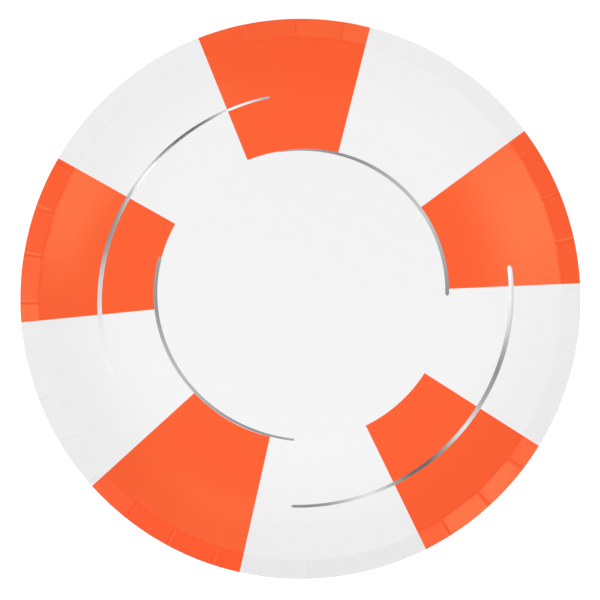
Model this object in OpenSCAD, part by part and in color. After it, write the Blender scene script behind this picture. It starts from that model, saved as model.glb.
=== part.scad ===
// Pressed paperboard party plate, printed as a life ring.
// Three bonded plies carry five orange print fields and four silver foil lines.
// Origin: middle of the underside. +Z is up through the plate, +Y is the top of the artwork.
// Units are millimetres.

/* [Plate] */
// Overall diameter of the plate
plate_d = 254; // [170:1:320]
// Diameter of the flat bottom
base_d = 140; // [100:1:180]
// Slope of the wall above the table
wall_angle = 25; // [15:1:35]
// Share of the wall width taken by the bend out of the flat bottom
bend_share = 0.76; // [0.5:0.01:0.9]

/* [Lip] */
// Width of the lip outside the crease
lip_w = 8.2; // [5:0.1:14]
// Droop of the lip below the level
lip_angle = 16; // [4:1:25]
// Radius of the crease, on its underside
crease_bend = 0.8; // [0.4:0.1:2]
// Number of pleats pressed into the lip
pleat_count = 36; // [12:1:60]
// Direction of the first pleat, about the artwork's middle
pleat_phase = 1.6; // [0:0.1:10]
// Width of one pleat
pleat_w = 0.9; // [0.5:0.1:2]
// Depth of a pleat in a bare ply
pleat_depth = 0.06; // [0.02:0.01:0.08]

/* [Board] */
// Thickness of the uncoated ply at the back
back_t = 0.10; // [0.09:0.01:0.2]
// Thickness of the core ply
core_t = 0.24; // [0.15:0.01:0.5]
// Thickness of the coated ply at the face
face_t = 0.10; // [0.09:0.01:0.2]
// Drawn thickness of a print field
print_t = 0.06; // [0.03:0.01:0.08]
// Drawn thickness of a foil line where it crosses a print field
foil_t = 0.05; // [0.03:0.01:0.08]

/* [Artwork] */
// Plate diameter that the artwork sizes below belong to
art_d = 254; // [170:1:320]
// Offset of the artwork from the plate's middle
art_shift = [0.7, 1.8]; // [-4:0.1:4]
// Radius of the inner edge of the print fields
field_inner_r = 66.1; // [40:0.1:90]
// Directions of the two edges of the top field
field_top = [75.7, 112.0]; // [0:0.1:360]
// Directions of the two edges of the left field
field_left = [150.7, 185.6]; // [0:0.1:360]
// Directions of the two edges of the lower left field
field_lower_left = [222.3, 257.3]; // [0:0.1:360]
// Directions of the two edges of the lower right field
field_lower_right = [296.0, 327.5]; // [0:0.1:360]
// Directions of the two edges of the right field
field_right = [2.4, 36.4]; // [0:0.1:360]

/* [Foil lines] */
// Directions where the outer left line starts and ends
outer_left_ends = [98.5, 202.5]; // [-180:0.1:360]
// Curve of the outer left line: end, two pulls and end
outer_left_r = [92.95, 89.85, 90.8, 92.3]; // [50:0.05:115]
// Width of the outer left line along the same curve
outer_left_w = [1.0, 1.45, 2.3, 1.95]; // [0.3:0.05:4]
// Directions where the outer right line starts and ends
outer_right_ends = [9.1, -92.5]; // [-180:0.1:360]
// Curve of the outer right line: end, two pulls and end
outer_right_r = [96.25, 95.2, 93.5, 94.4]; // [50:0.05:115]
// Width of the outer right line along the same curve
outer_right_w = [2.15, 2.2, 1.35, 1.3]; // [0.3:0.05:4]
// Directions where the inner upper line starts and ends
inner_upper_ends = [98, 1.3]; // [-180:0.1:360]
// Curve of the inner upper line: end, two pulls and end
inner_upper_r = [67.55, 68.75, 68.8, 66.75]; // [50:0.05:115]
// Width of the inner upper line along the same curve
inner_upper_w = [0.4, 2.3, 1.2, 1.75]; // [0.3:0.05:4]
// Directions where the inner lower line starts and ends
inner_lower_ends = [163.2, 267.6]; // [-180:0.1:360]
// Curve of the inner lower line: end, two pulls and end
inner_lower_r = [66.5, 65.85, 61.6, 64.2]; // [50:0.05:115]
// Width of the inner lower line along the same curve
inner_lower_w = [1.5, 2.15, 1.15, 1.0]; // [0.3:0.05:4]

/* [Hidden] */
$fn = 96;

// Levels through the board, measured square to its underside
core_level = back_t;
face_level = core_level + core_t;
board_t = face_level + face_t;
print_level = board_t + print_t;
foil_level = print_level + foil_t;

// Plate section, followed along the underside from the middle to the rim
plate_r = plate_d / 2;
base_r = base_d / 2;
crease_r = plate_r - lip_w;
bend_r = bend_share * (crease_r - base_r) / sin(wall_angle);
wall_in_r = base_r + bend_r * sin(wall_angle);
wall_in_z = bend_r * (1 - cos(wall_angle));
wall_out_r = crease_r - crease_bend * sin(wall_angle);
wall_run = (wall_out_r - wall_in_r) / cos(wall_angle);
wall_out_z = wall_in_z + wall_run * sin(wall_angle);
crease_z = wall_out_z - crease_bend * cos(wall_angle);
lip_in_r = crease_r + crease_bend * sin(lip_angle);
lip_in_z = crease_z + crease_bend * cos(lip_angle);
lip_out_r = plate_r - print_level * sin(lip_angle);
lip_run = (lip_out_r - lip_in_r) / cos(lip_angle);
lip_out_z = lip_in_z - lip_run * sin(lip_angle);
bend_steps = 8;
crease_steps = 6;

// Pleats
print_pleat_share = 2 / 3;
print_pleat_depth = print_t * print_pleat_share;
pleat_over = 2;
pleat_start = 0.3;
pleat_reach = 1;

// Artwork
art_scale = plate_d / art_d;
art_x = art_shift[0] * art_scale;
art_y = art_shift[1] * art_scale;
field_reach_share = 1.4;
field_reach = plate_r * field_reach_share;
prism_clear = 4;
prism_bottom = -prism_clear;
prism_top = wall_out_z + foil_level + prism_clear;
line_steps = 36;
fields = [field_top, field_left, field_lower_left, field_lower_right, field_right];

board_white = [0.95, 0.945, 0.94];
core_white = [0.90, 0.885, 0.86];
back_white = [0.92, 0.91, 0.89];
print_orange = [0.988, 0.396, 0.216];
foil_silver = [0.76, 0.77, 0.78];

// Point on a circle about the artwork's middle
function art_point(r, a) = [art_x + r * cos(a), art_y + r * sin(a)];

// Value along a four point curve, u from 0 to 1
function pull(v, u) =
    v[0] * pow(1 - u, 3) + v[1] * 3 * u * pow(1 - u, 2)
    + v[2] * 3 * u * u * (1 - u) + v[3] * pow(u, 3);

function line_angle(ends, u) = ends[0] + (ends[1] - ends[0]) * u;

// Point of a foil line's edge, side +1 outside and -1 inside
function line_point(ends, r, w, u, side) =
    let (reach = (pull(r, u) + side * pull(w, u) / 2) * art_scale)
    [reach * cos(line_angle(ends, u)), reach * sin(line_angle(ends, u))];

// Line through the board at one level, from the middle of the plate to its rim
function level_line(t) = concat(
    [[0, t]],
    [for (i = [0 : bend_steps])
        let (a = wall_angle * i / bend_steps)
        [base_r + (bend_r - t) * sin(a), bend_r - (bend_r - t) * cos(a)]],
    [for (i = [0 : crease_steps])
        let (a = wall_angle - (wall_angle + lip_angle) * i / crease_steps)
        [crease_r - (crease_bend + t) * sin(a), crease_z + (crease_bend + t) * cos(a)]],
    [[lip_out_r + t * sin(lip_angle), lip_out_z + t * cos(lip_angle)]]
);

function reversed(v) = [for (i = [len(v) - 1 : -1 : 0]) v[i]];

// One whole layer of the plate between two levels
module layer(low, high) {
    rotate_extrude() polygon(concat(level_line(low), reversed(level_line(high))));
}

// Where pleat i crosses the crease: the pleats point to the middle of the artwork,
// because the blank is scored in register with its print
function pleat_angle(i) =
    let (a = pleat_phase + i * 360 / pleat_count)
    a + asin((art_y * cos(a) - art_x * sin(a)) / crease_r);

// Whether a direction about the artwork's middle lies in a print field
function in_field(a, edges) = (a - edges[0] + 720) % 360 < (edges[1] - edges[0] + 360) % 360;
function is_printed(a) = len([for (edges = fields) if (in_field(a, edges)) edges]) > 0;

all_pleats = [for (i = [0 : pleat_count - 1]) i];
bare_pleats = [for (i = all_pleats) if (!is_printed(pleat_phase + i * 360 / pleat_count)) i];

// Cutters for pleats, sunk into the lip at a level: from above (side 1) or from below (side -1).
// The ones below start outside the crease, where they clear the wall.
module pleat_cutters(pleats, level, depth, side) {
    inside = side > 0 ? -pleat_over : pleat_start;
    floor_level = side > 0 ? level - depth : level + depth - pleat_reach;
    for (i = pleats)
        rotate([0, 0, pleat_angle(i)])
            translate([lip_in_r, 0, lip_in_z])
                rotate([0, lip_angle, 0])
                    translate([inside, -pleat_w / 2, floor_level])
                        cube([lip_run + pleat_over - inside, pleat_w, pleat_reach]);
}

// Upright prism over one print field
module field_prism(edges) {
    middle = (edges[0] + edges[1]) / 2;
    translate([0, 0, prism_bottom]) linear_extrude(prism_top - prism_bottom) difference() {
        polygon([
            [art_x, art_y],
            art_point(field_reach, edges[0]),
            art_point(field_reach, middle),
            art_point(field_reach, edges[1])
        ]);
        translate([art_x, art_y]) circle(r = field_inner_r * art_scale);
    }
}

// Upright prism over one foil line
module line_prism(ends, r, w) {
    outside = [for (i = [0 : line_steps]) line_point(ends, r, w, i / line_steps, 1)];
    inside = [for (i = [line_steps : -1 : 0]) line_point(ends, r, w, i / line_steps, -1)];
    translate([0, 0, prism_bottom])
        linear_extrude(prism_top - prism_bottom) polygon(concat(outside, inside));
}

// One print field, lying on the face ply
module field_print(edges) {
    color(print_orange) difference() {
        intersection() {
            layer(board_t, print_level);
            field_prism(edges);
        }
        pleat_cutters(all_pleats, print_level, print_pleat_depth, 1);
    }
}

// One foil line, lying on the face ply and over the print fields it crosses
module foil_line(ends, r, w) {
    color(foil_silver) difference() {
        intersection() {
            layer(board_t, foil_level);
            line_prism(ends, r, w);
        }
        intersection() {
            layer(board_t, print_level);
            for (edges = fields) field_prism(edges);
        }
    }
}

module back_ply() {
    color(back_white) difference() {
        layer(0, core_level);
        pleat_cutters(all_pleats, 0, pleat_depth, -1);
    }
}

module core_ply() {
    color(core_white) layer(core_level, face_level);
}

// The pleats are pressed into the bare face only: the print fields carry their own
module face_ply() {
    color(board_white) difference() {
        layer(face_level, board_t);
        pleat_cutters(bare_pleats, board_t, pleat_depth, 1);
    }
}

module orange_print_top() {
    field_print(field_top);
}

module orange_print_left() {
    field_print(field_left);
}

module orange_print_lower_left() {
    field_print(field_lower_left);
}

module orange_print_lower_right() {
    field_print(field_lower_right);
}

module orange_print_right() {
    field_print(field_right);
}

module foil_outer_left() {
    foil_line(outer_left_ends, outer_left_r, outer_left_w);
}

module foil_outer_right() {
    foil_line(outer_right_ends, outer_right_r, outer_right_w);
}

module foil_inner_upper() {
    foil_line(inner_upper_ends, inner_upper_r, inner_upper_w);
}

module foil_inner_lower() {
    foil_line(inner_lower_ends, inner_lower_r, inner_lower_w);
}

back_ply();
core_ply();
face_ply();
orange_print_top();
orange_print_left();
orange_print_lower_left();
orange_print_lower_right();
orange_print_right();
foil_outer_left();
foil_outer_right();
foil_inner_upper();
foil_inner_lower();
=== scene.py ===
"""Paper party plate printed as a life ring: board plies, print fields and foil lines on the packed frame."""
import math
import random

import bmesh
import bpy
from bpy.props import FloatProperty, FloatVectorProperty, IntProperty, PointerProperty
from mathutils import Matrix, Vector


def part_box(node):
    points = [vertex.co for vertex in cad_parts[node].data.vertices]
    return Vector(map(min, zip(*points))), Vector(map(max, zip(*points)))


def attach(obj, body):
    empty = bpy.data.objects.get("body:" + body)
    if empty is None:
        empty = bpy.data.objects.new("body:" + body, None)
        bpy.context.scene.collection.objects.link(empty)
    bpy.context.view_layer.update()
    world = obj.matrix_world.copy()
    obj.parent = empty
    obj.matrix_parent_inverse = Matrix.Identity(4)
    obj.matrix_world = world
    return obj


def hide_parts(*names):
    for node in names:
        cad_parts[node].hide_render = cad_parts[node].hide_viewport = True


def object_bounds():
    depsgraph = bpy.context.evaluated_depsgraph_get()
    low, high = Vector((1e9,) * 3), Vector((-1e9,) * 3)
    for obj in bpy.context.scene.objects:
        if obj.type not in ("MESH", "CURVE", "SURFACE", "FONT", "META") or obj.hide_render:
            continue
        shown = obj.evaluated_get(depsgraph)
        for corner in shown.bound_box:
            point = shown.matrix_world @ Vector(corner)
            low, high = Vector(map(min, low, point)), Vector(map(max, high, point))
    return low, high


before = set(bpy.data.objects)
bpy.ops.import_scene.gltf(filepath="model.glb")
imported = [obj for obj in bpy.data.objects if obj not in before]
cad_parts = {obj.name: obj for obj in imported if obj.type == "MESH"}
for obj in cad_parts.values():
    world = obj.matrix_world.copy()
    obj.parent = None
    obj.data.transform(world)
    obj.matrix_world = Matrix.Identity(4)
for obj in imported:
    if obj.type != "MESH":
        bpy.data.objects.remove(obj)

bl_info = {
    "name": "Life Ring Party Plate",
    "version": (1, 0, 0),
    "blender": (4, 5, 0),
    "location": "View3D > Sidebar > Plate",
    "description": "Builds a pressed paperboard plate with a pleated lip, print fields and foil lines",
    "category": "Mesh",
}

BODY = "root"
SHADE = "shade"
CAD_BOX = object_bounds()
FACE_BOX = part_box("face_ply")

FIELDS = ("top", "left", "lower_left", "lower_right", "right")
LINES = ("outer_left", "outer_right", "inner_upper", "inner_lower")

# Columns of the sheet across one bay, from the pleat outwards, as shares of half a bay
BAY_COLUMNS = (0.0, 0.02, 0.04, 0.062, 0.09, 0.13, 0.19, 0.28, 0.40, 0.55, 0.70, 0.85, 1.0)
# Rings of the sheet in the flat bottom, the straight wall and the lip, as shares of their widths
FLAT_RINGS = (0.04, 0.12, 0.28, 0.45, 0.62, 0.78, 0.9)
WALL_RINGS = (0.2, 0.4, 0.58, 0.72, 0.83, 0.90, 0.935, 0.955, 0.97, 0.98, 0.99)
LIP_RINGS = (0.05, 0.12, 0.24, 0.4, 0.55, 0.7, 0.84, 0.94, 0.975, 0.99, 1.0)
BEND_STEPS = 16
CREASE_STEPS = 6
# Thinner columns near the middle: share of the flat bottom's radius, and the share of columns kept
COLUMN_THINNING = ((0.2, 24), (0.5, 8), (0.8, 4), (1.02, 2))

# Raised fold beside a pleat: offset and width are shares of its width, and height of its depth
RIDGE_OFFSET = 0.62
RIDGE_WIDTH = 0.3
RIDGE_HEIGHT = 0.3
# How the pleats differ from one to the next
PLEAT_DEPTHS = (0.7, 1.25)
PLEAT_WIDTHS = (0.85, 1.15)
# A pleat has its full depth from this far outside the crease
PLEAT_FULL_FROM = 0.0002
# The scored line lies this many of its widths inside the crease
SCORE_OFFSET = 1.2
# The straight bays sink by this share of how far they move inwards
CHORD_DROP = 0.25
# Share of the lip's width where the cut edge starts to roll down
ROLL_START = 0.97
# Slow unevenness round the plate: waves in one turn, phase and share
WAVES = ((2, 0.7, 1.0), (3, 2.1, 0.6), (7, 0.4, 0.35))

# Edges sharper than this aren't shaded smooth
CRISP_ANGLE = math.radians(40)
# Columns taken beyond a print field's edges, before it is cut to them
FIELD_MARGIN = math.radians(4)
CUT_TOLERANCE = 1e-7
# A foil line: sections along it, columns across it, height of its edge and narrowest end, as shares
FOIL_STEPS = 160
FOIL_COLUMNS = 8
FOIL_EDGE = 0.35
FOIL_END = 0.12
MM_IN_METRE = 1000
CAMERA_REACH = 50


# ---------------------------------------------------------------- settings

class PlateSizes(bpy.types.PropertyGroup):
    """Shape of the pressed board"""
    diameter: FloatProperty(
        name="Diameter", description="Across the rim",
        default=CAD_BOX[1][0] - CAD_BOX[0][0], unit="LENGTH")
    base_diameter: FloatProperty(
        name="Flat bottom", description="Across the flat bottom", default=0.140, unit="LENGTH")
    wall_angle: FloatProperty(
        name="Wall slope", description="Slope of the wall above the table",
        default=math.radians(25), unit="ROTATION")
    bend_share: FloatProperty(
        name="Bend share", description="Share of the wall width taken by the bend", default=0.76)
    lip_width: FloatProperty(
        name="Lip width", description="From the crease to the rim", default=0.0082, unit="LENGTH")
    lip_angle: FloatProperty(
        name="Lip droop", description="Droop of the lip below the level",
        default=math.radians(16), unit="ROTATION")
    crease_bend: FloatProperty(
        name="Crease radius", description="Inner radius of the crease", default=0.0008, unit="LENGTH")
    waviness: FloatProperty(
        name="Waviness", description="Height of the slow unevenness of the pressed board",
        default=0.00012, unit="LENGTH")
    rim_nick: FloatProperty(
        name="Rim roughness", description="How far the die-cut edge wanders",
        default=0.00003, unit="LENGTH")


class PlySizes(bpy.types.PropertyGroup):
    """Thickness of the board's layers and of the films on it"""
    back: FloatProperty(name="Back ply", description="Uncoated ply", default=0.00010, unit="LENGTH")
    core: FloatProperty(name="Core ply", description="Pulp core", default=0.00024, unit="LENGTH")
    face: FloatProperty(name="Face ply", description="Coated ply", default=0.00010, unit="LENGTH")
    ink: FloatProperty(name="Print", description="Ink and varnish film", default=0.00002, unit="LENGTH")
    foil: FloatProperty(
        name="Foil", description="Crown of a foil line over the print", default=0.00005, unit="LENGTH")


class PleatSizes(bpy.types.PropertyGroup):
    """Pleats pressed into the lip"""
    count: IntProperty(name="Pleats", description="Number of pleats round the lip", default=36, min=3)
    phase: FloatProperty(
        name="First pleat", description="Direction of the first pleat",
        default=math.radians(1.6), unit="ROTATION")
    width: FloatProperty(name="Width", description="Width of one pleat", default=0.0018, unit="LENGTH")
    depth: FloatProperty(name="Depth", description="Depth of one pleat", default=0.00020, unit="LENGTH")
    lean: FloatProperty(
        name="Pleat lean", description="How much the pleats' depth differs round the lip, as a share",
        default=0.35)
    deepest: FloatProperty(
        name="Deepest pleats", description="Direction where the pleats are pressed deepest",
        default=math.radians(270), unit="ROTATION")
    overrun: FloatProperty(
        name="Overrun", description="How far a pleat runs past the crease into the wall",
        default=0.0014, unit="LENGTH")
    bay_tilt: FloatProperty(
        name="Bay tilt", description="How far the lip's droop differs from bay to bay",
        default=math.radians(2.4), unit="ROTATION")
    crease_line: FloatProperty(
        name="Crease line", description="Depth of the scored line inside the crease",
        default=0.00004, unit="LENGTH")
    crease_line_width: FloatProperty(
        name="Crease line width", description="Width of the scored line", default=0.00055, unit="LENGTH")
    crease_gap: FloatProperty(
        name="Crease gap", description="Half the gap that the scored line leaves at each pleat",
        default=0.0014, unit="LENGTH")
    edge_roll: FloatProperty(
        name="Edge roll", description="How far the die rolls the cut edge down",
        default=0.00006, unit="LENGTH")
    chord: FloatProperty(
        name="Straight bays", description="How straight the crease runs from pleat to pleat", default=1.0)
    fade: FloatProperty(
        name="Bay fade", description="Width of wall over which the straight bays die away",
        default=0.010, unit="LENGTH")


class ArtworkSizes(bpy.types.PropertyGroup):
    """Print fields and foil lines"""
    shift: FloatVectorProperty(
        name="Shift", description="Middle of the artwork, seen from the plate's middle",
        size=2, default=(0.0007, 0.0018), unit="LENGTH")
    field_inner: FloatProperty(
        name="Field inner radius", description="Inner edge of the print fields",
        default=0.0661, unit="LENGTH")
    field_top: FloatVectorProperty(
        name="Top field", description="Directions of its edges, degrees", size=2, default=(75.7, 112.0))
    field_left: FloatVectorProperty(
        name="Left field", description="Directions of its edges, degrees", size=2, default=(150.7, 185.6))
    field_lower_left: FloatVectorProperty(
        name="Lower left field", description="Directions of its edges, degrees",
        size=2, default=(222.3, 257.3))
    field_lower_right: FloatVectorProperty(
        name="Lower right field", description="Directions of its edges, degrees",
        size=2, default=(296.0, 327.5))
    field_right: FloatVectorProperty(
        name="Right field", description="Directions of its edges, degrees", size=2, default=(2.4, 36.4))
    outer_left_ends: FloatVectorProperty(
        name="Outer left ends", description="Directions of its ends, degrees",
        size=2, default=(98.5, 202.5))
    outer_left_r: FloatVectorProperty(
        name="Outer left curve", description="End, two pulls and end, mm",
        size=4, default=(92.95, 89.85, 90.8, 92.3))
    outer_left_w: FloatVectorProperty(
        name="Outer left width", description="End, two pulls and end, mm",
        size=4, default=(1.0, 1.45, 2.3, 1.95))
    outer_right_ends: FloatVectorProperty(
        name="Outer right ends", description="Directions of its ends, degrees",
        size=2, default=(9.1, -92.5))
    outer_right_r: FloatVectorProperty(
        name="Outer right curve", description="End, two pulls and end, mm",
        size=4, default=(96.25, 95.2, 93.5, 94.4))
    outer_right_w: FloatVectorProperty(
        name="Outer right width", description="End, two pulls and end, mm",
        size=4, default=(2.15, 2.2, 1.35, 1.3))
    inner_upper_ends: FloatVectorProperty(
        name="Inner upper ends", description="Directions of its ends, degrees",
        size=2, default=(98.0, 1.3))
    inner_upper_r: FloatVectorProperty(
        name="Inner upper curve", description="End, two pulls and end, mm",
        size=4, default=(67.55, 68.75, 68.8, 66.75))
    inner_upper_w: FloatVectorProperty(
        name="Inner upper width", description="End, two pulls and end, mm",
        size=4, default=(0.4, 2.3, 1.2, 1.75))
    inner_lower_ends: FloatVectorProperty(
        name="Inner lower ends", description="Directions of its ends, degrees",
        size=2, default=(163.2, 267.6))
    inner_lower_r: FloatVectorProperty(
        name="Inner lower curve", description="End, two pulls and end, mm",
        size=4, default=(66.5, 65.85, 61.6, 64.2))
    inner_lower_w: FloatVectorProperty(
        name="Inner lower width", description="End, two pulls and end, mm",
        size=4, default=(1.5, 2.15, 1.15, 1.0))


class Finishes(bpy.types.PropertyGroup):
    """Colours of the board, print and foil"""
    coating: FloatVectorProperty(
        name="Coated face", description="White coated board", size=3, subtype="COLOR",
        default=(0.752, 0.753, 0.755))
    core: FloatVectorProperty(
        name="Core", description="Pulp seen at the cut edge", size=3, subtype="COLOR",
        default=(0.72, 0.69, 0.63))
    back: FloatVectorProperty(
        name="Back", description="Uncoated board", size=3, subtype="COLOR", default=(0.76, 0.74, 0.70))
    ink: FloatVectorProperty(
        name="Orange print", description="Orange ink under varnish", size=3, subtype="COLOR",
        default=(0.822, 0.0885, 0.0225))
    foil: FloatVectorProperty(
        name="Silver foil", description="Hot-stamped foil", size=3, subtype="COLOR",
        default=(0.86, 0.87, 0.88))
    sheen: FloatVectorProperty(
        name="Print sheen", description="Tint of the gloss on the print", size=3, subtype="COLOR",
        default=(1.0, 0.79, 0.38))
    # Painted shade: how much darker the lip, the crease and the pleats are painted. The lip is darkest
    # towards one direction round the plate.
    lip_painted_shade: FloatProperty(
        name="Painted shade on the lip", description="How much darker the bare lip is than the wall", default=0.060)
    print_lip_crush: FloatProperty(
        name="Painted shade on the printed lip", description="How much darker the print is on the lip",
        default=0.108)
    painted_shade_lean: FloatProperty(
        name="Shade lean", description="How much the painted darkening differs round the lip, as a share",
        default=0.95)
    painted_shade_towards: FloatProperty(
        name="Shade direction", description="Direction where the lip is crushed most",
        default=math.radians(262), unit="ROTATION")
    crease_painted_shade: FloatProperty(
        name="Painted shade on the crease", description="How much darker the bare board is along the crease",
        default=0.045)
    print_crease_crush: FloatProperty(
        name="Painted shade on the printed crease", description="How much darker the print is along the crease",
        default=0.22)
    pleat_painted_shade: FloatProperty(
        name="Painted shade in the pleats", description="How much darker the print is in the pleats", default=0.15)
    floor: FloatVectorProperty(
        name="Floor", description="Pale studio floor", size=3, subtype="COLOR", default=(0.95, 0.95, 0.95))


class StageSizes(bpy.types.PropertyGroup):
    """Camera and lights"""
    camera_height: FloatProperty(
        name="Camera height", description="Above the rim of the plate", default=3.0, unit="LENGTH")
    frame_share: FloatProperty(
        name="Plate in view", description="Share of the picture's width that the plate fills",
        default=0.9346)
    aim: FloatVectorProperty(
        name="Aim", description="Where the camera aims, seen from the plate's middle",
        size=2, default=(-0.0002, -0.0005), unit="LENGTH")
    floor_size: FloatProperty(name="Floor size", description="Edge of the floor", default=6.0, unit="LENGTH")
    floor_gap: FloatProperty(
        name="Floor gap", description="Air between the floor and the underside",
        default=0.0001, unit="LENGTH")
    light_distance: FloatProperty(
        name="Softbox distance", description="From the plate to each softbox", default=1.5, unit="LENGTH")
    sky: FloatProperty(
        name="Room light", description="Strength of the room's own light overhead", default=0.900)
    horizon: FloatProperty(
        name="Horizon", description="Room light at the horizon, as a share of that overhead", default=0.3)
    front_dim: FloatProperty(
        name="Front dimming", description="How much dimmer the room is towards the front", default=0.2)
    floor_glow: FloatProperty(
        name="Floor glow", description="Light that the pale floor gives off, as on a light table",
        default=0.30)


# Softboxes: name, direction round the plate, tilt from overhead (degrees), edge (metres) and watts
SOFTBOXES = (
    ("left_softbox", 199, 44, 0.70, 7.2),
    ("right_softbox", 339, 48, 0.42, 3.4),
    ("front_softbox", 311, 36, 0.18, 2.8),
    ("back_softbox", 70, 38, 0.50, 1.6),
    ("low_softbox", 203, 24, 0.34, 0.9),
)

GROUPS = (
    ("life_ring_plate", PlateSizes), ("life_ring_plies", PlySizes), ("life_ring_pleats", PleatSizes),
    ("life_ring_artwork", ArtworkSizes), ("life_ring_finishes", Finishes), ("life_ring_stage", StageSizes),
)


# ---------------------------------------------------------------- shape of the board

def smooth(x):
    """Smooth step from 0 to 1 over the same range of x."""
    x = min(max(x, 0.0), 1.0)
    return x * x * (3 - 2 * x)


def pull(v, u):
    """Value along a four point curve, u from 0 to 1."""
    w = 1 - u
    return v[0] * w ** 3 + 3 * v[1] * u * w * w + 3 * v[2] * u * u * w + v[3] * u ** 3


class Board:
    """The pressed board as one surface function, shared by every ply and film."""

    def __init__(self, scene):
        plate, plies, pleats, art = (
            scene.life_ring_plate, scene.life_ring_plies, scene.life_ring_pleats, scene.life_ring_artwork)
        self.plate, self.plies, self.pleats, self.art = plate, plies, pleats, art
        self.finishes = scene.life_ring_finishes
        self.core_level = plies.back
        self.face_level = self.core_level + plies.core
        self.top_level = self.face_level + plies.face
        self.rim_r = plate.diameter / 2
        self.base_r = plate.base_diameter / 2
        self.crease_r = self.rim_r - plate.lip_width
        wall, droop = plate.wall_angle, plate.lip_angle
        self.bend_r = plate.bend_share * (self.crease_r - self.base_r) / math.sin(wall)
        self.wall_in = (self.base_r + self.bend_r * math.sin(wall), self.bend_r * (1 - math.cos(wall)))
        wall_out_r = self.crease_r - plate.crease_bend * math.sin(wall)
        run = (wall_out_r - self.wall_in[0]) / math.cos(wall)
        self.wall_out = (wall_out_r, self.wall_in[1] + run * math.sin(wall))
        self.crease_z = self.wall_out[1] - plate.crease_bend * math.cos(wall)
        self.lip_in = (self.crease_r + plate.crease_bend * math.sin(droop),
                       self.crease_z + plate.crease_bend * math.cos(droop))
        out_r = self.rim_r - self.top_level * math.sin(droop)
        self.lip_out = (out_r, self.lip_in[1] - (out_r - self.lip_in[0]) * math.tan(droop))
        self.pleat_at = self.find_pleats()
        draw = random.Random(11)
        self.bay_tilts = [self.pleats.bay_tilt * draw.uniform(-1, 1) for _ in self.pleat_at]
        self.columns = self.find_columns()
        self.stations = self.find_stations()

    def find_pleats(self):
        """Direction, depth and width of each pleat, which points to the middle of the artwork."""
        draw = random.Random(36)
        found = []
        for i in range(self.pleats.count):
            a = self.pleats.phase + i * math.tau / self.pleats.count
            off = self.art.shift[1] * math.cos(a) - self.art.shift[0] * math.sin(a)
            lean = 1 + self.pleats.lean * math.cos(a - self.pleats.deepest)
            found.append((
                a + math.asin(off / self.crease_r),
                self.pleats.depth * lean * draw.uniform(*PLEAT_DEPTHS),
                self.pleats.width * draw.uniform(*PLEAT_WIDTHS)))
        return found

    def find_columns(self):
        """Directions of the sheet's columns, close together at each pleat, with their bay facts."""
        columns = []
        count = len(self.pleat_at)
        for i in range(count):
            here, depth, width = self.pleat_at[i]
            ahead, ahead_depth, ahead_width = self.pleat_at[(i + 1) % count]
            if ahead < here:
                ahead += math.tau
            half = (ahead - here) / 2
            for share in BAY_COLUMNS[:-1]:
                columns.append((here + half * share, half, half * share, depth, width, i))
            for share in reversed(BAY_COLUMNS[1:]):
                columns.append((ahead - half * share, half, -half * share, ahead_depth, ahead_width,
                                (i + 1) % count))
        return columns

    def bay(self, a):
        """Half width of the bay at direction a, angle from its nearer pleat, and that pleat's facts."""
        count = len(self.pleat_at)
        guess = round((a - self.pleats.phase) * count / math.tau)
        best = None
        for i in (guess - 1, guess, guess + 1):
            at, depth, width = self.pleat_at[i % count]
            off = (a - at + math.pi) % math.tau - math.pi
            if best is None or abs(off) < abs(best[0]):
                best = (off, depth, width, i % count)
        return (math.pi / count, *best)

    def find_stations(self):
        """Section along the underside: radius, height, and the way that the board's levels are stacked."""
        plate = self.plate
        wall, droop = plate.wall_angle, plate.lip_angle
        flat = [(self.base_r * share, 0.0, 0.0, 1.0) for share in FLAT_RINGS]
        bend = []
        for i in range(BEND_STEPS + 1):
            a = wall * i / BEND_STEPS
            bend.append((self.base_r + self.bend_r * math.sin(a), self.bend_r * (1 - math.cos(a)),
                         -math.sin(a), math.cos(a)))
        straight = []
        for share in WALL_RINGS:
            straight.append((
                self.wall_in[0] + (self.wall_out[0] - self.wall_in[0]) * share,
                self.wall_in[1] + (self.wall_out[1] - self.wall_in[1]) * share,
                -math.sin(wall), math.cos(wall)))
        crease = []
        for i in range(CREASE_STEPS + 1):
            a = wall - (wall + droop) * i / CREASE_STEPS
            crease.append((self.crease_r - plate.crease_bend * math.sin(a),
                           self.crease_z + plate.crease_bend * math.cos(a), -math.sin(a), math.cos(a)))
        lip = []
        for share in LIP_RINGS:
            roll = self.pleats.edge_roll * max(0.0, (share - ROLL_START) / (1 - ROLL_START)) ** 2
            lip.append((
                self.lip_in[0] + (self.lip_out[0] - self.lip_in[0]) * share,
                self.lip_in[1] + (self.lip_out[1] - self.lip_in[1]) * share - roll,
                math.sin(droop), math.cos(droop)))
        return flat + bend + straight + crease + lip

    def section(self, r):
        """Height and slope of the underside at radius r."""
        if r <= self.base_r:
            return 0.0, 0.0
        if r <= self.wall_in[0]:
            a = math.asin((r - self.base_r) / self.bend_r)
            return self.bend_r * (1 - math.cos(a)), a
        wall = self.plate.wall_angle
        return self.wall_in[1] + (r - self.wall_in[0]) * math.tan(wall), wall

    def chord(self, half, off):
        """How far inside its circle the crease lies, as it runs straight from pleat to pleat."""
        return self.crease_r * (1 - math.cos(half) / math.cos(half - abs(off))) * self.pleats.chord

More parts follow.
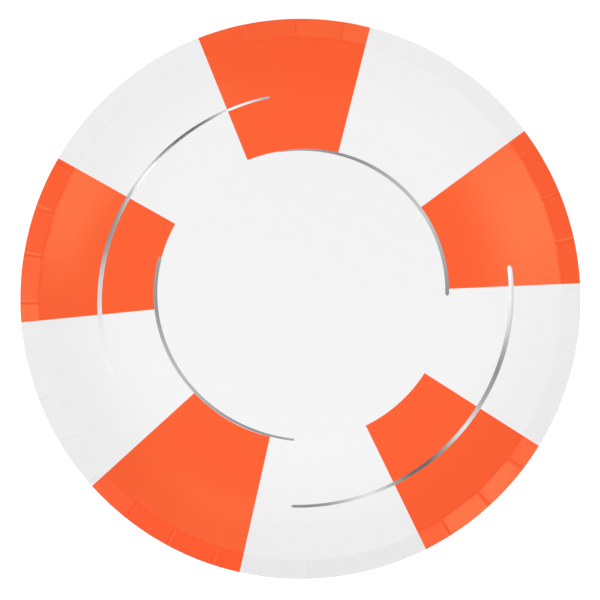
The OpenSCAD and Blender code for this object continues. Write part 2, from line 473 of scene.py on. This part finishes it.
    def shade(self, x, y, printed):
        """Painted shade: brightness of the surface, 1 in the wall and less on the lip, along the crease and,
        on the print, in the pleats.
        """
        r = math.hypot(x, y)
        if r < self.crease_r - self.pleats.fade:
            return 1.0
        a = math.atan2(y, x)
        half, off, _, width, _ = self.bay(a)
        beyond = r - self.crease_r + self.chord(half, off)
        line = self.pleats.crease_line_width
        finishes = self.finishes
        # The lip's painted shade is deepest towards one direction round the plate
        lean = 1 + finishes.painted_shade_lean * math.cos(a - finishes.painted_shade_towards)
        lip_painted_shade = finishes.print_lip_crush if printed else finishes.lip_painted_shade
        crease_painted_shade = finishes.print_crease_crush if printed else finishes.crease_painted_shade
        value = 1 - lip_painted_shade * lean * smooth(0.5 + beyond / line)
        value -= crease_painted_shade * math.exp(-((beyond + line / 2) / line) ** 2)
        # Painted shade along the pleats, on the print only
        if printed:
            started = smooth(1 + beyond / self.pleats.overrun)
            value -= finishes.pleat_painted_shade * started * math.exp(-(off * r / (width * RIDGE_WIDTH)) ** 2)
        return value

    def displaced(self, r, z, a, half, off, depth, width, pleat):
        """A point of the section moved by the straight bays, the pleats and the slow unevenness."""
        crease_r, rim_r = self.crease_r, self.rim_r
        if r < crease_r:
            near = smooth(1 - (crease_r - r) / self.pleats.fade)
        else:
            near = smooth((rim_r - r) / (rim_r - crease_r))
        chord = self.chord(half, off)
        r -= chord * near
        z -= chord * near * CHORD_DROP
        groove = smooth(1 - (crease_r + PLEAT_FULL_FROM - r) / self.pleats.overrun)
        if groove > 0:
            x = abs(off) * r / (width / 2)
            if x < 1:
                z -= depth * groove * (1 - x * x) ** 2
            x = (off * r - width * RIDGE_OFFSET) / (width * RIDGE_WIDTH)
            z += depth * RIDGE_HEIGHT * groove * math.exp(-x * x)
        line_width = self.pleats.crease_line_width
        x = (r - crease_r + SCORE_OFFSET * line_width) / (line_width / 2)
        gap = smooth(abs(off) * r / self.pleats.crease_gap - 0.5)
        z -= self.pleats.crease_line * gap * math.exp(-x * x)
        if r > crease_r:
            turn = smooth(0.5 + off * r / width)
            tilt = self.bay_tilts[pleat - 1] * (1 - turn) + self.bay_tilts[pleat] * turn
            z -= tilt * (r - crease_r)
        rise = smooth((r - self.base_r) / (crease_r - self.base_r))
        wave = sum(share * math.sin(turns * a + phase) for turns, phase, share in WAVES)
        z += self.plate.waviness * rise * wave
        return r, z

    def point(self, station, column, level):
        """Point of the board at a section station, a column and a level above the underside."""
        r, z, across, up = station
        a = column[0]
        r, z = self.displaced(r, z, *column)
        r += across * level
        z += up * level
        return (r * math.cos(a), r * math.sin(a), z)

    def free_point(self, r, a, level):
        """Point of the board at any radius inside the crease."""
        z, slope = self.section(r)
        r, z = self.displaced(r, z, a, *self.bay(a))
        r -= math.sin(slope) * level
        z += math.cos(slope) * level
        return (r * math.cos(a), r * math.sin(a), z)

    def nicks(self):
        """Small wander of the die-cut edge, one value for each column."""
        draw = random.Random(7)
        values = [draw.uniform(-1, 1) for _ in self.columns]
        n = len(values)
        return [self.plate.rim_nick * (values[i - 1] + 2 * values[i] + values[(i + 1) % n]) / 4
                for i in range(n)]


# ---------------------------------------------------------------- mesh helpers

def new_piece(name, points, faces, material, node, shades=()):
    """A smooth mesh object with crisp cut edges, which stands for one CAD node and rides on the plate."""
    mesh = bpy.data.meshes.new(name)
    mesh.from_pydata(points, [], faces)
    mesh.validate()
    mesh.materials.append(material)
    if shades:
        mesh.attributes.new(SHADE, "FLOAT", "POINT").data.foreach_set("value", shades)
    mesh.polygons.foreach_set("use_smooth", [True] * len(mesh.polygons))
    mesh.set_sharp_from_angle(angle=CRISP_ANGLE)
    piece = bpy.data.objects.new(name, mesh)
    bpy.context.scene.collection.objects.link(piece)
    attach(piece, BODY)
    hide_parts(node)


def ring_counts(board):
    """How many columns each ring of the sheet has: few near the middle, all of them in the lip."""
    full = len(board.columns)
    counts = []
    for r, _, _, _ in board.stations:
        thinning = next((times for share, times in COLUMN_THINNING if r < board.base_r * share), 1)
        counts.append(full // thinning)
    return counts


def sheet_points(board, level, counts, nicks):
    """Points of one level of the board, ring by ring from the middle."""
    points = [(0.0, 0.0, level)]
    last = len(board.stations) - 1
    full = len(board.columns)
    for k, station in enumerate(board.stations):
        step = full // counts[k]
        for j in range(0, full, step):
            x, y, z = board.point(station, board.columns[j], level)
            if k == last:
                grow = 1 + nicks[j] / board.rim_r
                x, y = x * grow, y * grow
            points.append((x, y, z))
    return points


def sheet_faces(counts, first, upward):
    """Faces of one level, with a fan at the middle and triangles where the column count doubles."""
    faces = []

    def add(*corners):
        faces.append(tuple(corners) if upward else tuple(reversed(corners)))

    start = first + 1
    n = counts[0]
    for j in range(n):
        add(first, start + j, start + (j + 1) % n)
    for k in range(len(counts) - 1):
        inner, outer = counts[k], counts[k + 1]
        outer_start = start + inner
        ratio = outer // inner
        for j in range(inner):
            a, b = start + j, start + (j + 1) % inner
            ring = [outer_start + (j * ratio + i) % outer for i in range(ratio + 1)]
            if ratio == 1:
                add(a, ring[0], ring[1], b)
                continue
            half = ratio // 2
            for i in range(half):
                add(a, ring[i], ring[i + 1])
            add(a, ring[half], b)
            for i in range(half, ratio):
                add(b, ring[i], ring[i + 1])
        start = outer_start
    return faces


def ply_mesh(board, low, high):
    """Closed solid of one ply: its two levels and the cut edge between them."""
    counts = ring_counts(board)
    nicks = board.nicks()
    bottom = sheet_points(board, low, counts, nicks)
    top = sheet_points(board, high, counts, nicks)
    points = bottom + top
    faces = sheet_faces(counts, 0, False) + sheet_faces(counts, len(bottom), True)
    full = counts[-1]
    low_ring = len(bottom) - full
    high_ring = len(points) - full
    for j in range(full):
        k = (j + 1) % full
        faces.append((low_ring + j, low_ring + k, high_ring + k, high_ring + j))
    return points, faces


# ---------------------------------------------------------------- materials

def new_material(name):
    """An empty node material with its Principled shader."""
    material = bpy.data.materials.new(name)
    material.use_nodes = True
    tree = material.node_tree
    tree.nodes.clear()
    shader = tree.nodes.new("ShaderNodeBsdfPrincipled")
    output = tree.nodes.new("ShaderNodeOutputMaterial")
    tree.links.new(shader.outputs["BSDF"], output.inputs["Surface"])
    return material, tree, shader


def object_place(tree):
    """Place on the piece, in metres, for the noise to follow."""
    return tree.nodes.new("ShaderNodeTexCoord").outputs["Object"]


def noise(tree, place, scale, detail=4.0, roughness=0.55, stretch=None):
    """Noise value from 0 to 1 at a scale in features per metre."""
    if stretch:
        mapping = tree.nodes.new("ShaderNodeMapping")
        mapping.inputs["Scale"].default_value = stretch
        tree.links.new(place, mapping.inputs["Vector"])
        place = mapping.outputs["Vector"]
    node = tree.nodes.new("ShaderNodeTexNoise")
    node.inputs["Scale"].default_value = scale
    node.inputs["Detail"].default_value = detail
    node.inputs["Roughness"].default_value = roughness
    tree.links.new(place, node.inputs["Vector"])
    return node.outputs["Fac"]


def spread(tree, value, low, high, from_low=0.3, from_high=0.7):
    """Map a noise value onto a range."""
    node = tree.nodes.new("ShaderNodeMapRange")
    node.inputs["From Min"].default_value = from_low
    node.inputs["From Max"].default_value = from_high
    node.inputs["To Min"].default_value = low
    node.inputs["To Max"].default_value = high
    tree.links.new(value, node.inputs["Value"])
    return node.outputs["Result"]


def tinted(tree, factor, low, high):
    """Colour between two colours by a factor."""
    node = tree.nodes.new("ShaderNodeMix")
    node.data_type = "RGBA"
    node.inputs["A"].default_value = (*low, 1)
    node.inputs["B"].default_value = (*high, 1)
    tree.links.new(factor, node.inputs["Factor"])
    return node.outputs["Result"]


def bumped(tree, shader, height, distance, strength=1.0):
    """Give the shader a bump of a height in metres."""
    node = tree.nodes.new("ShaderNodeBump")
    node.inputs["Strength"].default_value = strength
    node.inputs["Distance"].default_value = distance
    tree.links.new(height, node.inputs["Height"])
    tree.links.new(node.outputs["Normal"], shader.inputs["Normal"])


def scaled(colour, share):
    """A colour made darker by a share."""
    return tuple(c * share for c in colour)


def darkened(tree, low, high, mottle):
    """Brightness of the surface: the mottle, times the painted shade stored on the points, which is lower on
    the lip, along the crease and in the pleats.
    """
    attribute = tree.nodes.new("ShaderNodeAttribute")
    attribute.attribute_name = SHADE
    product = tree.nodes.new("ShaderNodeMath")
    product.operation = "MULTIPLY"
    tree.links.new(spread(tree, mottle, low, high), product.inputs[0])
    tree.links.new(attribute.outputs["Fac"], product.inputs[1])
    return product.outputs["Value"]


def coated_board(colour):
    """White clay coating: smooth and satin, with the faint mottle of the fibres under it."""
    material, tree, shader = new_material("coated_board")
    place = object_place(tree)
    mottle = noise(tree, place, scale=160, detail=5.0)
    # Painted shade: the white turns darker on the lip and along the crease
    shade = darkened(tree, low=0.985, high=1.0, mottle=mottle)
    tree.links.new(tinted(tree, shade, (0, 0, 0), colour), shader.inputs["Base Color"])
    grain = noise(tree, place, scale=2600, detail=3.0)
    tree.links.new(spread(tree, grain, low=0.50, high=0.62), shader.inputs["Roughness"])
    bumped(tree, shader, noise(tree, place, scale=1500), distance=0.000012, strength=0.5)
    shader.inputs["Specular IOR Level"].default_value = 0.2
    return material


def uncoated_board(name, colour, grain_scale, grain_height):
    """Bare pulp: matt, with fibres lying mostly one way."""
    material, tree, shader = new_material(name)
    place = object_place(tree)
    fibres = noise(tree, place, grain_scale, detail=6.0, roughness=0.65, stretch=(1.0, 4.0, 1.0))
    between_fibres = scaled(colour, 0.93)
    pulp = tinted(tree, spread(tree, fibres, low=0, high=1), between_fibres, colour)
    tree.links.new(pulp, shader.inputs["Base Color"])
    tree.links.new(spread(tree, fibres, low=0.75, high=0.92), shader.inputs["Roughness"])
    bumped(tree, shader, fibres, grain_height, strength=0.7)
    shader.inputs["Specular IOR Level"].default_value = 0.25
    return material


def varnished_ink(colour, sheen):
    """Flat orange print under a thin varnish, with painted shade: on the lip, along the crease and in the
    pleats it turns redder and darker.
    """
    material, tree, shader = new_material("varnished_orange_ink")
    place = object_place(tree)
    mottle = noise(tree, place, scale=220, detail=5.0)
    # Painted shade lowers only green and blue, so the print turns redder where it is darker
    shade = darkened(tree, low=0.98, high=1.0, mottle=mottle)
    tree.links.new(tinted(tree, shade, (colour[0], 0, 0), colour), shader.inputs["Base Color"])
    grain = noise(tree, place, scale=2200, detail=3.0)
    tree.links.new(spread(tree, grain, low=0.29, high=0.35), shader.inputs["Roughness"])
    bumped(tree, shader, noise(tree, place, scale=1500), distance=0.000010, strength=0.5)
    shader.inputs["Specular IOR Level"].default_value = 0.42
    shader.inputs["Specular Tint"].default_value = (*sheen, 1)
    return material


def silver_foil(name, colour, painted_reflections):
    """Stamped foil with painted reflections: bands that run out from the middle, bright and dark in turn,
    stand for the room seen in its mirror.
    """
    material, tree, shader = new_material(name)
    place = object_place(tree)
    split = tree.nodes.new("ShaderNodeSeparateXYZ")
    tree.links.new(place, split.inputs["Vector"])
    turn = tree.nodes.new("ShaderNodeMath")
    turn.operation = "ARCTAN2"
    tree.links.new(split.outputs["Y"], turn.inputs[0])
    tree.links.new(split.outputs["X"], turn.inputs[1])
    share = tree.nodes.new("ShaderNodeMath")
    share.operation = "DIVIDE"
    tree.links.new(turn.outputs["Value"], share.inputs[0])
    share.inputs[1].default_value = math.tau
    wrap = tree.nodes.new("ShaderNodeMath")
    wrap.operation = "FLOORED_MODULO"
    tree.links.new(share.outputs["Value"], wrap.inputs[0])
    wrap.inputs[1].default_value = 1.0
    ramp = tree.nodes.new("ShaderNodeValToRGB")
    elements = ramp.color_ramp.elements
    for i, (degrees, tone) in enumerate(painted_reflections):
        spot = math.radians(degrees) / math.tau
        element = elements[i] if i < 2 else elements.new(spot)
        element.position = spot
        element.color = (*scaled(colour, tone), 1)
    tree.links.new(wrap.outputs["Value"], ramp.inputs["Fac"])
    tree.links.new(ramp.outputs["Color"], shader.inputs["Base Color"])
    grain = noise(tree, place, scale=3000, detail=2.0)
    tree.links.new(spread(tree, grain, low=0.27, high=0.31), shader.inputs["Roughness"])
    shader.inputs["Metallic"].default_value = 1.0
    return material


# Painted reflection: tone of each foil line by direction in degrees
FOIL_PAINTED_REFLECTIONS = {
    "outer_left": (
        (90, 0.36), (98, 0.46), (105, 0.88), (109, 1.0), (114, 0.49), (118, 0.22), (122, 0.135),
        (125, 0.155), (128, 0.145), (134, 0.33), (138, 0.66), (141, 0.77), (144, 0.71), (146, 0.63),
        (150, 0.46), (154, 0.37), (160, 0.32), (166, 0.39), (174, 0.72), (180, 0.84), (188, 1.02),
        (203, 1.14)),
    "outer_right": (
        (0, 0.43), (10, 0.39), (264, 0.34), (271, 0.26), (278, 0.37), (284, 0.70), (289, 0.95),
        (294, 0.72), (298, 0.39), (302, 0.20), (308, 0.185), (314, 0.43), (318, 0.78), (322, 1.0),
        (326, 0.75), (330, 0.50), (334, 0.40), (340, 0.29), (346, 0.36), (350, 0.47), (354, 0.48),
        (360, 0.43)),
    "inner_upper": (
        (0, 0.335), (16, 0.47), (34, 0.69), (50, 0.57), (64, 0.38), (76, 0.33), (92, 0.49),
        (120, 0.54)),
    "inner_lower": (
        (162, 0.45), (172, 0.37), (184, 0.35), (200, 0.52), (214, 0.57), (226, 0.50), (238, 0.385),
        (250, 0.34), (268, 0.47)),
}


# ---------------------------------------------------------------- pieces

def add_ply(board, name, low, high, material):
    """One ply: the board between two levels."""
    points, faces = ply_mesh(board, low, high)
    # Painted shade of each point: darker on the lip and along the crease
    shades = [board.shade(x, y, False) for x, y, _ in points]
    new_piece(name + "_sheet", points, faces, material, name, shades)


def field_sheet(board, edges):
    """Top of the face ply inside one print field, cut along the field's two straight edges."""
    art_x, art_y = board.art.shift
    start, end = (math.radians(e) for e in edges)
    middle = (start + end) / 2
    reach = (end - start) / 2 + FIELD_MARGIN
    inner = [c for c in board.columns
             if abs((c[0] - middle + math.pi) % math.tau - math.pi) < reach]
    inner.sort(key=lambda c: (c[0] - middle + math.pi) % math.tau)
    stations = [s for s in board.stations if s[0] > board.base_r * 0.99]
    mesh = bmesh.new()
    nicks = {id(c): n for c, n in zip(board.columns, board.nicks())}
    rows = []
    first = []
    for c in inner:
        # the inner edge is a circle about the middle of the artwork
        along = art_x * math.cos(c[0]) + art_y * math.sin(c[0])
        across = art_y * math.cos(c[0]) - art_x * math.sin(c[0])
        r = along + math.sqrt(board.art.field_inner ** 2 - across ** 2)
        first.append(mesh.verts.new((r * math.cos(c[0]), r * math.sin(c[0]), board.top_level)))
    rows.append(first)
    for k, station in enumerate(stations):
        row = []
        for c in inner:
            x, y, z = board.point(station, c, board.top_level)
            if k == len(stations) - 1:
                grow = 1 + nicks[id(c)] / board.rim_r
                x, y = x * grow, y * grow
            row.append(mesh.verts.new((x, y, z)))
        rows.append(row)
    for k in range(len(rows) - 1):
        for j in range(len(inner) - 1):
            mesh.faces.new((rows[k][j], rows[k + 1][j], rows[k + 1][j + 1], rows[k][j + 1]))
    for a, side in ((start, 1), (end, -1)):
        normal = (math.sin(a) * side, -math.cos(a) * side, 0)
        bmesh.ops.bisect_plane(
            mesh, geom=mesh.verts[:] + mesh.edges[:] + mesh.faces[:],
            plane_co=(art_x, art_y, 0), plane_no=normal, clear_outer=True, dist=CUT_TOLERANCE)
    return mesh


def thicken(mesh, rise):
    """Close a sheet into a film: a raised copy, the sheet turned over, and walls round the edge."""
    lifted = {v: mesh.verts.new((v.co.x, v.co.y, v.co.z + rise)) for v in mesh.verts[:]}
    faces = mesh.faces[:]
    border = [(e.verts[0], e.verts[1], e.link_faces[0]) for e in mesh.edges[:] if len(e.link_faces) == 1]
    for face in faces:
        mesh.faces.new([lifted[v] for v in face.verts])
    for a, b, face in border:
        corners = face.verts[:]
        i = corners.index(a)
        if corners[(i + 1) % len(corners)] != b:
            a, b = b, a
        mesh.faces.new((a, b, lifted[b], lifted[a]))
    for face in faces:
        face.normal_flip()


def add_field(board, name, material):
    """One orange print field: a thin film that lies on the face ply."""
    edges = getattr(board.art, "field_" + name)
    sheet = field_sheet(board, edges)
    thicken(sheet, board.plies.ink)
    sheet.verts.index_update()
    points = [tuple(v.co) for v in sheet.verts]
    faces = [tuple(v.index for v in f.verts) for f in sheet.faces]
    sheet.free()
    node = "orange_print_" + name
    # Painted shade of each point: darker on the lip, along the crease and in the pleats
    shades = [board.shade(x, y, True) for x, y, _ in points]
    new_piece(node + "_film", points, faces, material, node, shades)


def add_line(board, name, material):
    """One foil line: a long crowned strip that follows the board."""
    ends = getattr(board.art, name + "_ends")
    radii = getattr(board.art, name + "_r")
    widths = getattr(board.art, name + "_w")
    low = board.top_level
    edge = low + board.plies.ink
    points = []
    for i in range(FOIL_STEPS + 1):
        u = i / FOIL_STEPS
        a = math.radians(ends[0] + (ends[1] - ends[0]) * u)
        r = pull(radii, u) / MM_IN_METRE
        w = pull(widths, u) / MM_IN_METRE
        length = abs(math.radians(ends[1] - ends[0])) * r
        to_end = min(u, 1 - u) * length
        if to_end < w / 2:
            w *= math.sqrt(max(1 - (1 - 2 * to_end / w) ** 2, FOIL_END))
        for j in range(FOIL_COLUMNS + 1):
            side = 2 * j / FOIL_COLUMNS - 1
            level = edge + board.plies.foil * (FOIL_EDGE + (1 - FOIL_EDGE) * (1 - side * side))
            points.append(board.free_point(r + side * w / 2, a, level))
        for side in (1, -1):
            points.append(board.free_point(r + side * w / 2, a, low))
    faces = []
    ring = FOIL_COLUMNS + 3
    for i in range(FOIL_STEPS):
        for j in range(ring):
            k = (j + 1) % ring
            faces.append((i * ring + j, i * ring + k, (i + 1) * ring + k, (i + 1) * ring + j))
    faces.append(tuple(range(ring - 1, -1, -1)))
    faces.append(tuple(range(FOIL_STEPS * ring, (FOIL_STEPS + 1) * ring)))
    if ends[1] < ends[0]:
        faces = [tuple(reversed(f)) for f in faces]
    node = "foil_" + name
    new_piece(node + "_strip", points, faces, material, node)


class LIFE_RING_OT_back_ply(bpy.types.Operator):
    """Add the uncoated ply at the back"""
    bl_idname = "life_ring.add_back_ply"
    bl_label = "Add Back Ply"

    def execute(self, context):
        board = Board(context.scene)
        colour = context.scene.life_ring_finishes.back
        material = uncoated_board("uncoated_back", colour, grain_scale=900, grain_height=0.00003)
        add_ply(board, "back_ply", 0.0, board.core_level, material)
        return {"FINISHED"}


class LIFE_RING_OT_core_ply(bpy.types.Operator):
    """Add the pulp core, seen at the cut edge"""
    bl_idname = "life_ring.add_core_ply"
    bl_label = "Add Core Ply"

    def execute(self, context):
        board = Board(context.scene)
        colour = context.scene.life_ring_finishes.core
        material = uncoated_board("pulp_core", colour, grain_scale=2500, grain_height=0.00004)
        add_ply(board, "core_ply", board.core_level, board.face_level, material)
        return {"FINISHED"}


class LIFE_RING_OT_face_ply(bpy.types.Operator):
    """Add the white coated ply at the face"""
    bl_idname = "life_ring.add_face_ply"
    bl_label = "Add Face Ply"

    def execute(self, context):
        board = Board(context.scene)
        material = coated_board(context.scene.life_ring_finishes.coating)
        add_ply(board, "face_ply", board.face_level, board.top_level, material)
        return {"FINISHED"}


class LIFE_RING_OT_print_fields(bpy.types.Operator):
    """Add the five orange print fields"""
    bl_idname = "life_ring.add_print_fields"
    bl_label = "Add Print Fields"

    def execute(self, context):
        board = Board(context.scene)
        finishes = context.scene.life_ring_finishes
        material = varnished_ink(finishes.ink, finishes.sheen)
        for name in FIELDS:
            add_field(board, name, material)
        return {"FINISHED"}


class LIFE_RING_OT_foil_lines(bpy.types.Operator):
    """Add the four silver foil lines"""
    bl_idname = "life_ring.add_foil_lines"
    bl_label = "Add Foil Lines"

    def execute(self, context):
        board = Board(context.scene)
        colour = context.scene.life_ring_finishes.foil
        for name in LINES:
            foil = silver_foil("silver_foil_" + name, colour, FOIL_PAINTED_REFLECTIONS[name])
            add_line(board, name, foil)
        return {"FINISHED"}


def softbox(name, around, tilt, distance, edge, power):
    """A square softbox that faces the plate from a direction and a tilt from overhead."""
    light = bpy.data.lights.new(name, "AREA")
    light.size = edge
    light.energy = power
    lamp = bpy.data.objects.new(name, light)
    bpy.context.scene.collection.objects.link(lamp)
    toward = Vector((math.sin(tilt) * math.cos(around), math.sin(tilt) * math.sin(around), math.cos(tilt)))
    lamp.location = toward * distance
    lamp.rotation_euler = toward.to_track_quat("Z", "Y").to_euler()


def room_light(stage):
    """Soft light from the room: brightest overhead, dimmer at the horizon and towards the front."""
    world = bpy.data.worlds.new("studio")
    world.use_nodes = True
    tree = world.node_tree
    background = tree.nodes["Background"]
    background.inputs["Color"].default_value = (1, 1, 1, 1)
    split = tree.nodes.new("ShaderNodeSeparateXYZ")
    tree.links.new(tree.nodes.new("ShaderNodeTexCoord").outputs["Generated"], split.inputs["Vector"])
    rise = spread(tree, split.outputs["Z"], stage.horizon, 1.0, 0.0, 1.0)
    back = spread(tree, split.outputs["Y"], 1 - stage.front_dim, 1 + stage.front_dim, -1.0, 1.0)
    product = tree.nodes.new("ShaderNodeMath")
    product.operation = "MULTIPLY"
    tree.links.new(rise, product.inputs[0])
    tree.links.new(back, product.inputs[1])
    total = tree.nodes.new("ShaderNodeMath")
    total.operation = "MULTIPLY"
    tree.links.new(product.outputs["Value"], total.inputs[0])
    total.inputs[1].default_value = stage.sky
    tree.links.new(total.outputs["Value"], background.inputs["Strength"])
    return world


class LIFE_RING_OT_stage(bpy.types.Operator):
    """Add the floor, the lights and the camera"""
    bl_idname = "life_ring.add_stage"
    bl_label = "Add Stage"

    def execute(self, context):
        scene = context.scene
        stage = scene.life_ring_stage
        half = stage.floor_size / 2
        mesh = bpy.data.meshes.new("floor")
        corners = [(-half, -half), (half, -half), (half, half), (-half, half)]
        mesh.from_pydata([(x, y, -stage.floor_gap) for x, y in corners], [], [(0, 1, 2, 3)])
        material, tree, shader = new_material("pale_floor")
        colour = scene.life_ring_finishes.floor
        patches = noise(tree, object_place(tree), scale=3)
        tree.links.new(tinted(tree, patches, scaled(colour, 0.99), colour), shader.inputs["Base Color"])
        shader.inputs["Roughness"].default_value = 0.9
        shader.inputs["Specular IOR Level"].default_value = 0.1
        shader.inputs["Emission Color"].default_value = (1, 1, 1, 1)
        shader.inputs["Emission Strength"].default_value = stage.floor_glow
        mesh.materials.append(material)
        floor = bpy.data.objects.new("floor", mesh)
        scene.collection.objects.link(floor)

        for name, around, tilt, edge, power in SOFTBOXES:
            softbox(name, math.radians(around), math.radians(tilt), stage.light_distance, edge, power)
        scene.world = room_light(stage)

        rim = FACE_BOX[1][2]
        camera = bpy.data.cameras.new("camera")
        width = (CAD_BOX[1][0] - CAD_BOX[0][0]) / stage.frame_share
        camera.lens = camera.sensor_width * stage.camera_height / width
        camera.clip_end = CAMERA_REACH
        eye = bpy.data.objects.new("camera", camera)
        scene.collection.objects.link(eye)
        eye.location = (*stage.aim, rim + stage.camera_height)
        scene.camera = eye
        scene.view_settings.view_transform = "Standard"
        return {"FINISHED"}


class LIFE_RING_PT_plate(bpy.types.Panel):
    """The plate's pieces and sizes in the sidebar"""
    bl_label = "Life Ring Plate"
    bl_idname = "LIFE_RING_PT_plate"
    bl_space_type = "VIEW_3D"
    bl_region_type = "UI"
    bl_category = "Plate"

    def draw(self, context):
        layout = self.layout
        for attribute, group in GROUPS:
            box = layout.box()
            box.label(text=group.__doc__)
            for key in group.__annotations__:
                box.prop(getattr(context.scene, attribute), key)
        for operator in OPERATORS:
            layout.operator(operator.bl_idname)


OPERATORS = (
    LIFE_RING_OT_back_ply, LIFE_RING_OT_core_ply, LIFE_RING_OT_face_ply,
    LIFE_RING_OT_print_fields, LIFE_RING_OT_foil_lines, LIFE_RING_OT_stage,
)


def register():
    for _, group in GROUPS:
        bpy.utils.register_class(group)
    for operator in OPERATORS:
        bpy.utils.register_class(operator)
    bpy.utils.register_class(LIFE_RING_PT_plate)
    for attribute, group in GROUPS:
        setattr(bpy.types.Scene, attribute, PointerProperty(type=group))


def unregister():
    for attribute, _ in GROUPS:
        delattr(bpy.types.Scene, attribute)
    bpy.utils.unregister_class(LIFE_RING_PT_plate)
    for operator in reversed(OPERATORS):
        bpy.utils.unregister_class(operator)
    for _, group in reversed(GROUPS):
        bpy.utils.unregister_class(group)


def main():
    register()
    bpy.ops.life_ring.add_back_ply()
    bpy.ops.life_ring.add_core_ply()
    bpy.ops.life_ring.add_face_ply()
    bpy.ops.life_ring.add_print_fields()
    bpy.ops.life_ring.add_foil_lines()
    bpy.ops.life_ring.add_stage()


if __name__ == "__main__":
    main()
